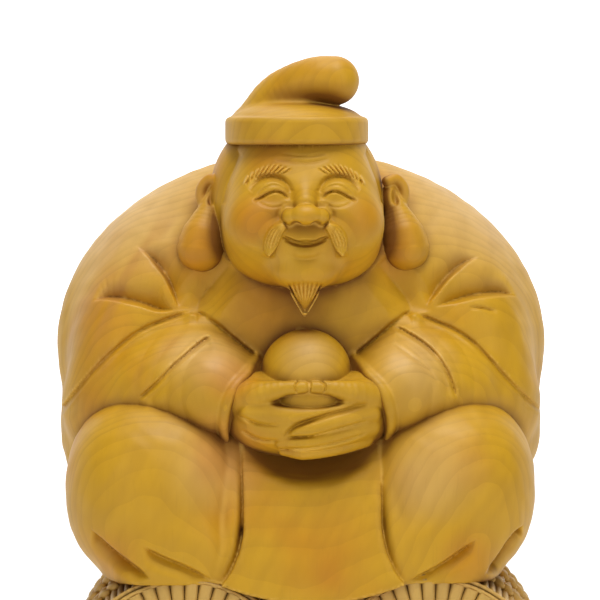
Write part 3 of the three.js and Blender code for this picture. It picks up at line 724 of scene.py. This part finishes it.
def mark_shade_and_highlights(obj):
    """Stores how enclosed each point is, 1 deep in a cut or under an overhang, for the painted shade with
    some patina, and how sharp its edge is, 1 on a sharp edge, for the painted highlight.
    """
    mesh = obj.data
    p = read(mesh.vertices, "co", 3) * 1000 - SEAT
    out, broad = normals(mesh), normals(mesh, 10)
    here = shared_out(whole, p)
    shade = np.zeros(len(p))
    # Painted shade with some patina: darker the more the wood closes round a point, in narrow cuts and under
    # overhangs such as the hands.
    for way, reach, share in ((out, 0.9, 0.2), (broad, 3.0, 0.38), (broad, 8.0, 0.62)):
        d = shared_out(whole, p + way * reach) - here
        shade += share * np.clip(1 - d / reach, 0, 1.2)
    store(mesh, "hollow", shade)
    # Painted highlight: lighter on sharp convex edges.
    inside = 0.6
    edge = 1 + (shared_out(whole, p - out * inside) - here) / inside
    store(mesh, "edge_highlight", 1.5 * edge - 0.2)


def carved(name, field, low, high, cell, triangles):
    """One finished piece of the figure, from its field inside a box."""
    cell = cell * COARSE
    values = sampled(field, low, high, cell)
    verts, quads = netted(values, low, cell)
    verts = settled(field, verts, cell)
    obj = linked(name, mesh_of(name, verts + SEAT, quads))
    thinned(obj, triangles)
    obj.data.polygons.foreach_set("use_smooth", np.ones(len(obj.data.polygons), bool))
    mark_shade_and_highlights(obj)
    return obj


# Node trees

def add(tree, kind, inputs=(), **settings):
    """A node with its inputs linked to sockets or set to values, and its settings."""
    node = tree.nodes.new(kind)
    for key, value in settings.items():
        setattr(node, key, value)
    for key, value in dict(inputs).items():
        if isinstance(value, bpy.types.NodeSocket):
            tree.links.new(value, node.inputs[key])
        else:
            node.inputs[key].default_value = value
    return node


def calc(tree, operation, *values, clamp=False):
    return add(tree, "ShaderNodeMath", enumerate(values), operation=operation, use_clamp=clamp).outputs[0]


def shifted(tree, operation, *values, output=0):
    """Vector arithmetic."""
    return add(tree, "ShaderNodeVectorMath", enumerate(values), operation=operation).outputs[output]


def vector(tree, x=0.0, y=0.0, z=0.0):
    return add(tree, "ShaderNodeCombineXYZ", enumerate((x, y, z))).outputs[0]


# Boxwood

def noise(tree, place, scale, detail, roughness=0.5, output=0):
    return add(tree, "ShaderNodeTexNoise",
               {"Vector": place, "Scale": scale, "Detail": detail, "Roughness": roughness}).outputs[output]


def eased(tree, value, nothing, full, slope="SMOOTHSTEP"):
    """0 where the value is at nothing, 1 where it is at full, with a slope between."""
    return add(tree, "ShaderNodeMapRange", {"Value": value, "From Min": nothing, "From Max": full},
               interpolation_type=slope).outputs[0]


def stretched(tree, place, **how):
    return add(tree, "ShaderNodeMapping", {"Vector": place, **how}).outputs[0]


def spots(tree, place, patches, start=0.0):
    """Soft round patches in the wood, added to the starting value, 1 at most."""
    total = start
    for x, y, z, reach, strength in patches:
        away = shifted(tree, "DISTANCE", place, (x, y, z), output="Value")
        total = calc(tree, "MULTIPLY_ADD", eased(tree, away, reach, 0.2 * reach), strength, total, clamp=True)
    return total


def boxwood(name, tones, ring_strength, fibre_strength):
    """Satin boxwood: rings round a heart far behind, upright fibres and warm patches, with painted highlights
    on the lit places and sharp edges, and painted shade with some patina in the hollows.
    """
    material = bpy.data.materials.new(name)
    material.use_nodes = True
    tree = material.node_tree
    shader = tree.nodes["Principled BSDF"]
    place = add(tree, "ShaderNodeTexCoord").outputs["Object"]

    drift = noise(tree, place, 22.0, 2.0, 0.45, "Color")
    pushed = shifted(tree, "SUBTRACT", drift, (0.5, 0.5, 0.5))
    pushed = shifted(tree, "MULTIPLY", pushed, (0.011, 0.011, 0.0))
    bent = shifted(tree, "ADD", place, pushed)
    part = add(tree, "ShaderNodeSeparateXYZ", {0: bent})
    lean = calc(tree, "MULTIPLY_ADD", part.outputs[2], 0.22, -0.155)
    across = calc(tree, "POWER", calc(tree, "ADD", part.outputs[1], lean), 2.0)
    sideways = calc(tree, "POWER", calc(tree, "ADD", part.outputs[0], 0.018), 2.0)
    radius = calc(tree, "SQRT", calc(tree, "ADD", across, sideways))
    # Years of growth are uneven, so the spacing of the rings drifts with the radius.
    uneven = add(tree, "ShaderNodeTexNoise", {"W": calc(tree, "MULTIPLY", radius, 160.0), "Scale": 1.0,
                                              "Detail": 2.0}, noise_dimensions="1D").outputs[0]
    years = calc(tree, "MULTIPLY_ADD", radius, 560.0, calc(tree, "MULTIPLY", uneven, 1.6))
    ring = eased(tree, calc(tree, "FRACT", years), 0.35, 1.0)
    ring = calc(tree, "MULTIPLY", ring, calc(tree, "MULTIPLY_ADD", uneven, 1.2, -0.1, clamp=True))

    upright = stretched(tree, bent, Scale=(1.0, 1.0, 0.05))
    fibre = noise(tree, upright, 1900.0, 3.0, 0.6)
    streak = noise(tree, upright, 330.0, 3.0)
    pores = eased(tree, fibre, 0.58, 0.74, "LINEAR")

    cloud = calc(tree, "MULTIPLY", eased(tree, noise(tree, place, 34.0, 3.0, 0.55), 0.5, 0.74), 0.45)
    warm = spots(tree, bent, WARM_PLACES, cloud)
    # Painted highlights on the lit shoulders, cuffs, jewel and knees.
    pale = spots(tree, bent, HIGHLIGHT_PLACES)
    slanted = stretched(tree, stretched(tree, bent, Rotation=(0.0, -0.5, 0.0)), Scale=(1.0, 0.4, 0.12))
    grain = eased(tree, noise(tree, slanted, 210.0, 2.0), 0.42, 0.66)
    flush = calc(tree, "MULTIPLY", spots(tree, bent, ROSE_PLACES), grain, clamp=True)

    # Painted shade with some patina: darker in the cuts, between parts and under overhangs.
    hollow = add(tree, "ShaderNodeAttribute", attribute_name="hollow").outputs["Fac"]
    hollow = eased(tree, hollow, 0.12, 0.95, "LINEAR")
    # Painted highlight on sharp edges.
    edge_highlight = add(tree, "ShaderNodeAttribute", attribute_name="edge_highlight").outputs["Fac"]

    wood = tones["gold"]
    # Mixes: deep darkens the grain and, through hollow, paints shade into the hollows; cream and the last
    # tone paint highlights on lit places and sharp edges.
    for share, strength, tone in (
            (warm, 1.0, "amber"), (pale, 1.0, "cream"), (flush, 0.6, "rose"), (grain, 0.1, "deep"),
            (ring, ring_strength, "deep"), (streak, fibre_strength, "deep"), (pores, 0.07, "deep"),
            (calc(tree, "POWER", hollow, 1.2), 0.85, "deep"), (edge_highlight, 0.55, "edge_highlight")):
        amount = calc(tree, "MULTIPLY", share, strength)
        wood = add(tree, "ShaderNodeMix", {0: amount, 6: wood, 7: tones[tone]}, data_type="RGBA").outputs[2]
    tree.links.new(wood, shader.inputs["Base Color"])

    polish = calc(tree, "MULTIPLY_ADD", streak, 0.16, 0.42)
    polish = calc(tree, "MULTIPLY_ADD", hollow, 0.2, polish)
    tree.links.new(polish, shader.inputs["Roughness"])
    shader.inputs["Specular IOR Level"].default_value = 0.4

    facets = noise(tree, place, 260.0, 1.0)
    height = calc(tree, "MULTIPLY_ADD", fibre, 0.12, calc(tree, "MULTIPLY", facets, 0.5))
    bump = add(tree, "ShaderNodeBump", {"Strength": 0.35, "Distance": 0.0003, "Height": height})
    tree.links.new(bump.outputs[0], shader.inputs["Normal"])
    return material


def rgb(r, g, b):
    """A colour read off a picture, as Blender's linear values."""
    linear = [(v / 255 / 12.92) if v <= 10 else ((v / 255 + 0.055) / 1.055) ** 2.4 for v in (r, g, b)]
    return (*linear, 1.0)


# Warmer places in the wood: x, y, z and reach in metres, and strength
WARM_PLACES = (
    (-0.0116, -0.0284, 0.1108, 0.0065, 0.7), (0.0097, -0.0284, 0.1108, 0.006, 0.5),
    (-0.0089, -0.023, 0.122, 0.006, 0.5), (-0.021, -0.015, 0.105, 0.009, 0.6),
    (0.018, -0.015, 0.105, 0.009, 0.6), (-0.0155, -0.030, 0.081, 0.008, 0.8),
    (-0.017, -0.032, 0.066, 0.010, 0.7), (-0.006, -0.020, 0.094, 0.014, 0.5),
    (0.002, -0.030, 0.047, 0.014, 0.4), (-0.036, -0.030, 0.047, 0.009, 0.6),
    (0.030, -0.034, 0.046, 0.008, 0.5), (-0.020, -0.008, 0.118, 0.010, 0.5),
    (0.018, -0.008, 0.118, 0.010, 0.5),
)
# Painted highlights, paler patches where the light falls brightest on the shoulders, cuffs, jewel and knees,
# in the same way
HIGHLIGHT_PLACES = (
    (-0.035, 0.002, 0.110, 0.025, 0.8), (0.033, 0.002, 0.110, 0.025, 0.8),
    (-0.019, -0.026, 0.084, 0.011, 0.5), (0.0195, -0.026, 0.082, 0.011, 0.5),
    (-0.0005, -0.034, 0.088, 0.010, 0.5), (-0.020, -0.033, 0.064, 0.012, 0.3),
    (0.022, -0.033, 0.062, 0.012, 0.4),
)
# The rosy grain on one upper arm
ROSE_PLACES = ((-0.033, -0.018, 0.096, 0.026, 1.0),)

figure_wood = boxwood("boxwood", {
    "gold": rgb(209, 158, 20), "amber": rgb(202, 128, 6), "rose": rgb(206, 146, 70), "deep": rgb(108, 58, 2),
    "edge_highlight": rgb(236, 188, 84), "cream": rgb(226, 186, 120)}, 0.18, 0.16)
straw_wood = boxwood("boxwood_straw", {
    "gold": rgb(212, 169, 84), "amber": rgb(196, 138, 56), "rose": rgb(204, 150, 98), "deep": rgb(92, 52, 12),
    "edge_highlight": rgb(232, 198, 124), "cream": rgb(222, 186, 116)}, 0.1, 0.14)


# Straw work on the bales, laid by node trees

def straw_tree(name, shape, **sizes):
    """Copies of a shape turned round the Y axis, as a tree with named inputs for its sizes."""
    tree = bpy.data.node_groups.new(name, "GeometryNodeTree")
    tree.is_modifier = True
    tree.interface.new_socket("Geometry", in_out="OUTPUT", socket_type="NodeSocketGeometry")
    for label, value in {"Count": 12, "Start turn": 0.0, "Unevenness": 0.0, **sizes}.items():
        kind = "NodeSocketInt" if isinstance(value, int) else "NodeSocketFloat"
        tree.interface.new_socket(label, in_out="INPUT", socket_type=kind).default_value = value
    given = add(tree, "NodeGroupInput").outputs
    points = add(tree, "GeometryNodePoints", {"Count": given["Count"]})
    index = add(tree, "GeometryNodeInputIndex").outputs[0]
    share = calc(tree, "DIVIDE", index, given["Count"])
    uneven = add(tree, "FunctionNodeRandomValue", {2: calc(tree, "MULTIPLY", given["Unevenness"], -1.0),
                                                   3: given["Unevenness"], "Seed": 7}).outputs[1]
    size = calc(tree, "ADD", uneven, 1.0)
    turn = add(tree, "FunctionNodeEulerToRotation",
               {0: vector(tree, 0.0, calc(tree, "MULTIPLY_ADD", share, 2 * pi, given["Start turn"]), 0.0)})
    copies = add(tree, "GeometryNodeInstanceOnPoints", {
        "Points": points.outputs[0], "Instance": shape(tree, given), "Rotation": turn.outputs[0],
        "Scale": vector(tree, size, 1.0, size)})
    real = add(tree, "GeometryNodeRealizeInstances", {"Geometry": copies.outputs[0]})
    dressed = add(tree, "GeometryNodeSetMaterial", {"Geometry": real.outputs[0], "Material": straw_wood})
    add(tree, "NodeGroupOutput", {0: dressed.outputs[0]})
    return tree


def swept(tree, curve, thickness, sides):
    """A round rod along a curve, closed at its ends."""
    round_ = add(tree, "GeometryNodeCurvePrimitiveCircle", {"Resolution": sides, "Radius": 1.0}).outputs[0]
    return add(tree, "GeometryNodeCurveToMesh", {
        "Curve": curve, "Profile Curve": round_, "Scale": thickness, "Fill Caps": True}).outputs[0]


def straight(tree, start, end):
    return add(tree, "GeometryNodeCurvePrimitiveLine", {"Start": start, "End": end}).outputs[0]


def rib_shape(tree, given):
    """A bundle of straw lying out along the end of a bale, thin at the hub and thick at the rim."""
    place = given["Place"]
    line = straight(tree, vector(tree, given["Hub"], place), vector(tree, given["Rim"], place))
    parts = add(tree, "GeometryNodeResampleCurve", {"Curve": line, "Count": 7})
    share = add(tree, "GeometryNodeSplineParameter").outputs["Factor"]
    span = calc(tree, "SUBTRACT", given["Thick end"], given["Thin end"])
    rib = swept(tree, parts.outputs[0], calc(tree, "MULTIPLY_ADD", share, span, given["Thin end"]), 10)
    flatness = 0.6
    back = calc(tree, "MULTIPLY", place, 1 - flatness)
    return add(tree, "GeometryNodeTransform", {
        "Geometry": rib, "Scale": (1.0, flatness, 1.0), "Translation": vector(tree, 0.0, back)}).outputs[0]


def ring_shape(tree, given):
    """A short length of twine lying on a ring round the bale."""
    ends = [vector(tree, given["Ring"], given["Place"], calc(tree, "MULTIPLY", given["Piece length"], half))
            for half in (-0.5, 0.5)]
    return swept(tree, straight(tree, *ends), given["Thickness"], 8)


def straw_shape(tree, given):
    """One straw running the length of a bale and swelling with it."""
    half = given["Half length"]
    line = straight(tree, vector(tree, 0.0, calc(tree, "MULTIPLY", half, -1.0)), vector(tree, 0.0, half))
    parts = add(tree, "GeometryNodeResampleCurve", {"Curve": line, "Count": 15})
    y = add(tree, "ShaderNodeSeparateXYZ", {0: add(tree, "GeometryNodeInputPosition").outputs[0]}).outputs[1]
    share = calc(tree, "POWER", calc(tree, "DIVIDE", calc(tree, "ABSOLUTE", y), half), 2.0)
    swell = calc(tree, "SUBTRACT", given["End radius"], given["Middle radius"])
    radius = calc(tree, "MULTIPLY_ADD", share, swell, given["Middle radius"])
    bowed = add(tree, "GeometryNodeSetPosition", {
        "Geometry": parts.outputs[0], "Position": vector(tree, radius, y)}).outputs[0]
    return swept(tree, bowed, given["Thickness"], 6)


def strand_shape(tree, given):
    """One twist of rope, slanted across the ring that it lies on."""
    ball = add(tree, "GeometryNodeMeshUVSphere", {"Segments": 8, "Rings": 6, "Radius": 1.0})
    slant = vector(tree, given["Slant on side"], given["Slant on end"])
    first = add(tree, "GeometryNodeTransform", {
        "Geometry": ball.outputs[0],
        "Scale": vector(tree, given["Thickness"], given["Thickness"], given["Strand length"])})
    turned = add(tree, "GeometryNodeTransform", {"Geometry": first.outputs[0], "Rotation": slant})
    placed = add(tree, "GeometryNodeTransform", {
        "Geometry": turned.outputs[0], "Translation": vector(tree, given["Ring"], given["Place"])})
    return placed.outputs[0]


rib_tree = straw_tree("straw_ribs", rib_shape, **{
    "Hub": 0.006, "Rim": 0.02, "Place": 0.037, "Thin end": 0.0005, "Thick end": 0.0015})
twine_tree = straw_tree("rim_twine", ring_shape, **{
    "Ring": 0.021, "Place": 0.037, "Piece length": 0.002, "Thickness": 0.0004})
side_tree = straw_tree("side_straws", straw_shape, **{
    "Half length": 0.037, "Middle radius": 0.025, "End radius": 0.022, "Thickness": 0.001})
rope_tree = straw_tree("twisted_rope", strand_shape, **{
    "Ring": 0.025, "Place": 0.0, "Thickness": 0.001, "Strand length": 0.002, "Slant on side": 0.0,
    "Slant on end": 0.0})


# Inputs that aren't lengths
PLAIN_INPUTS = ("Count", "Start turn", "Unevenness", "Slant on side", "Slant on end")


def laid(tree, values):
    """The mesh that a tree makes with the given input values, lengths in millimetres."""
    host = linked("laid", bpy.data.meshes.new("laid"))
    layer = host.modifiers.new("laid", "NODES")
    layer.node_group = tree
    for socket in tree.interface.items_tree:
        if socket.in_out == "INPUT" and socket.name in values:
            value = values[socket.name]
            layer[socket.identifier] = value if socket.name in PLAIN_INPUTS else value * 0.001
    mesh = bpy.data.meshes.new_from_object(host.evaluated_get(bpy.context.evaluated_depsgraph_get()))
    bpy.data.objects.remove(host)
    return mesh


def barrel(segments=176):
    """The plain body of a bale, turned about Y, with dished ends. In metres."""
    end = [(0, 0.5), (1.5, 0.45), (3.6, 0.1), (HUB_RADIUS - 0.6, -0.5), (HUB_RADIUS + 1, -STRAW_SINK),
           (12, -STRAW_SINK), (RIM_RADIUS - 2.6, -0.8), (RIM_RADIUS - 1.6, -0.5), (RIM_RADIUS - 0.9, -1.0)]
    side = [(bale_skin(y) - STRAW_SINK, y) for y in np.linspace(-HALF + 1.8, HALF - 1.8, 25)]
    outline = [(r, -HALF - rise) for r, rise in end] + side + [(r, HALF + rise) for r, rise in reversed(end)]
    turns = np.linspace(0, 2 * pi, segments, endpoint=False)
    inner = np.array(outline[1:-1])
    ring = np.stack([np.outer(inner[:, 0], np.cos(turns)), np.repeat(inner[:, 1:], segments, 1),
                     np.outer(inner[:, 0], np.sin(turns))], -1).reshape(-1, 3)
    verts = np.concatenate([[(0, outline[0][1], 0)], ring, [(0, outline[-1][1], 0)]])
    made = bmesh.new()
    points = [made.verts.new(v * 0.001) for v in verts]
    last, rings = len(points) - 1, len(inner)
    for j in range(segments):
        k = (j + 1) % segments
        made.faces.new((points[0], points[1 + j], points[1 + k]))
        made.faces.new((points[last], points[last - segments + k], points[last - segments + j]))
        for i in range(rings - 1):
            a, b = 1 + i * segments, 1 + (i + 1) * segments
            made.faces.new((points[a + j], points[b + j], points[b + k], points[a + k]))
    bmesh.ops.recalc_face_normals(made, faces=made.faces)
    mesh = bpy.data.meshes.new("barrel")
    made.to_mesh(mesh)
    made.free()
    return mesh


def bale(name, x, start):
    """A bale of straw: ribs and a knotted hub on each end, long straws and three twin ropes on the side."""
    meshes = [barrel(), laid(side_tree, {
        "Count": SIDE_STRAWS, "Start turn": start, "Unevenness": 0.005, "Half length": HALF - 1.4,
        "Middle radius": BALE_RADIUS - 0.85, "End radius": RIM_RADIUS - 0.95, "Thickness": 0.98})]
    for share in ROPE_PLACES:
        for twin in (-1, 1):
            y = share * HALF + twin * 1.12
            meshes.append(laid(rope_tree, {
                "Count": STRAND_TURNS, "Start turn": start + twin, "Ring": bale_skin(y) + 0.1, "Place": y,
                "Thickness": 0.98, "Strand length": 2.0, "Slant on side": 0.75 * twin}))
    for end in (-1, 1):
        face = end * HALF
        meshes.append(laid(rib_tree, {
            "Count": RIBS, "Start turn": start, "Unevenness": 0.008, "Hub": HUB_RADIUS - 0.6,
            "Rim": RIM_RADIUS - 1.4, "Place": face - end * 0.4, "Thin end": 0.48, "Thick end": 1.4}))
        for ring, setback in ((RIM_RADIUS - 0.35, 0.75), (RIM_RADIUS - 1.15, 0.2)):
            meshes.append(laid(twine_tree, {
                "Count": TWINE_PIECES, "Start turn": start, "Ring": ring, "Place": face - end * setback,
                "Thickness": 0.42, "Piece length": 2 * pi * (ring + 0.4) / TWINE_PIECES}))
        for ring, count in ((HUB_RADIUS - 0.7, 24), (HUB_RADIUS - 3, 14), (1.5, 6)):
            meshes.append(laid(rope_tree, {
                "Count": count, "Start turn": start, "Ring": ring, "Place": face + end * (0.35 - 0.1 * ring),
                "Thickness": 0.85, "Strand length": 1.25, "Slant on end": 0.5 * end}))
    made = bmesh.new()
    for mesh in meshes:
        made.from_mesh(mesh)
        bpy.data.meshes.remove(mesh)
    bmesh.ops.rotate(made, verts=made.verts, matrix=Matrix.Rotation(-BALE_TURN, 3, "Z"))
    for v in made.verts:
        v.co += Vector((x - MIDDLE_X, BALE_Y - MIDDLE_Y, BALE_Z)) * 0.001
        v.co.z = max(v.co.z, 0.0)  # sawn flat underneath
    for face in made.faces:
        face.smooth = True
        face.material_index = 0
    mesh = bpy.data.meshes.new(name)
    made.to_mesh(mesh)
    made.free()
    mesh.materials.clear()
    obj = linked(name, mesh)
    mark_bale_shade(obj, x)
    return obj


def mark_bale_shade(obj, x):
    """Painted shade on a bale: darker between the straws and under the ropes, and a painted shadow where the
    robe hangs over it.
    """
    mesh = obj.data
    p = read(mesh.vertices, "co", 3) * 1000 - SEAT
    across, y = along_bale(p, x)
    # Painted shade between the straws and under the ropes.
    sunk = np.minimum(bale_skin(y) + 0.1 - np.hypot(across, p[:, 2] + BALE_RADIUS), HALF + 0.35 - np.abs(y))
    between = np.clip(sunk / 0.95, 0, 1)
    # Painted shadow under the robe's hem.
    reach = 2.5
    q = p + read(mesh.vertices, "normal", 3) * reach
    over = np.minimum(shared_out(SLEEVES, q), shared_out(LAP, q))
    store(mesh, "hollow", 0.65 * between + 0.6 * np.clip(1 - over / reach, 0, 1))


def web(p):
    """The wood left between the bales, from the underside up to the robe."""
    left, right = BALE_PLACES
    across = np.abs(p[:, 0] - (left + right) / 2) - (right - left) / 2
    along = np.abs(p[:, 1] - BALE_Y) - (HALF - WEB_SETBACK)
    return np.maximum.reduce([across, along, p[:, 2] + BALE_RADIUS - WEB_TOP, -SEAT_Z - p[:, 2]])


# The pieces

pieces = [
    carved("cap", CAP, (-17, -29, 79), (15.5, 4.5, 99.5), 0.27, 90000),
    carved("head", HEAD, (-26.5, -40, 47), (26.5, 7, 89), 0.2, 195000),
    carved("sleeves_and_back", SLEEVES, (-51.5, -38, 5), (51.5, 36, 80.5), 0.34, 198000),
    carved("lap_and_knees", LAP, (-51, -40, -9), (51, 38, 34), 0.38, 190000),
    carved("hands_and_jewel", HANDS, (-19, -40, 19), (19, -16, 47), 0.21, 100000),
    carved("wood_between_bales", web, (-24, -34, -SEAT_Z - 2), (27, 21, -2), 1.0, 8000),
]
bales = [bale("left_bale", BALE_PLACES[0], 0.0), bale("right_bale", BALE_PLACES[1], 0.04)]
for piece in pieces:
    piece.data.materials.append(figure_wood)
for piece in bales:
    piece.data.materials.append(straw_wood)
for piece in pieces + bales:
    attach(piece, BODY)
    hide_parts(NODE)


# Floor and light

def floor():
    """Pale paper that bends up behind, and glows a little more towards the back."""
    mesh = bpy.data.meshes.new("floor")
    half_width, front, back, bend, top = 3.0, -1.2, 1.2, 0.5, 1.6
    arc = [(back + bend * sin(a), bend - bend * cos(a)) for a in np.linspace(0, pi / 2, 12)]
    profile = [(front, 0.0), *arc, (back + bend, top)]
    verts = [(x, y, z - 0.0004) for y, z in profile for x in (-half_width, half_width)]
    faces = [(2 * i, 2 * i + 1, 2 * i + 3, 2 * i + 2) for i in range(len(profile) - 1)]
    mesh.from_pydata(verts, [], faces)
    paint = bpy.data.materials.new("pale_paper")
    paint.use_nodes = True
    tree = paint.node_tree
    shader = tree.nodes["Principled BSDF"]
    shader.inputs["Base Color"].default_value = (0.78, 0.78, 0.78, 1)
    shader.inputs["Roughness"].default_value = 0.9
    shader.inputs["Specular IOR Level"].default_value = 0.1
    shader.inputs["Emission Color"].default_value = (1, 1, 1, 1)
    place = add(tree, "ShaderNodeTexCoord").outputs["Object"]
    depth = add(tree, "ShaderNodeSeparateXYZ", {0: place}).outputs[1]
    glow = add(tree, "ShaderNodeMapRange", {
        "Value": depth, "From Min": 0.0, "From Max": 0.9, "To Min": 0.2, "To Max": 0.85}).outputs[0]
    tree.links.new(glow, shader.inputs["Emission Strength"])
    mesh.materials.append(paint)
    linked("floor", mesh)


def soft_light(name, azimuth, elevation, distance, size, watts):
    """A round white light that shines at the middle of the carving."""
    light = bpy.data.lights.new(name, "AREA")
    light.shape, light.size, light.energy = "DISK", size, watts
    middle = (0, 0, 0.07)
    aim(linked(name, light), around(azimuth, elevation, distance, middle), middle)


floor()
soft_light("top", 10, 76, 0.9, 0.5, 5.8)
soft_light("left_front", -36, 20, 1.1, 0.6, 1.6)
soft_light("right_front", 36, 20, 1.1, 0.6, 1.7)
soft_light("behind", 180, 60, 1.1, 0.7, 2.8)
world = bpy.data.worlds.new("white_room")
bpy.context.scene.world = world
world.use_nodes = True
background = world.node_tree.nodes["Background"]
background.inputs["Color"].default_value = (1, 1, 1, 1)
background.inputs["Strength"].default_value = 0.2
bpy.context.scene.view_settings.view_transform = "Standard"
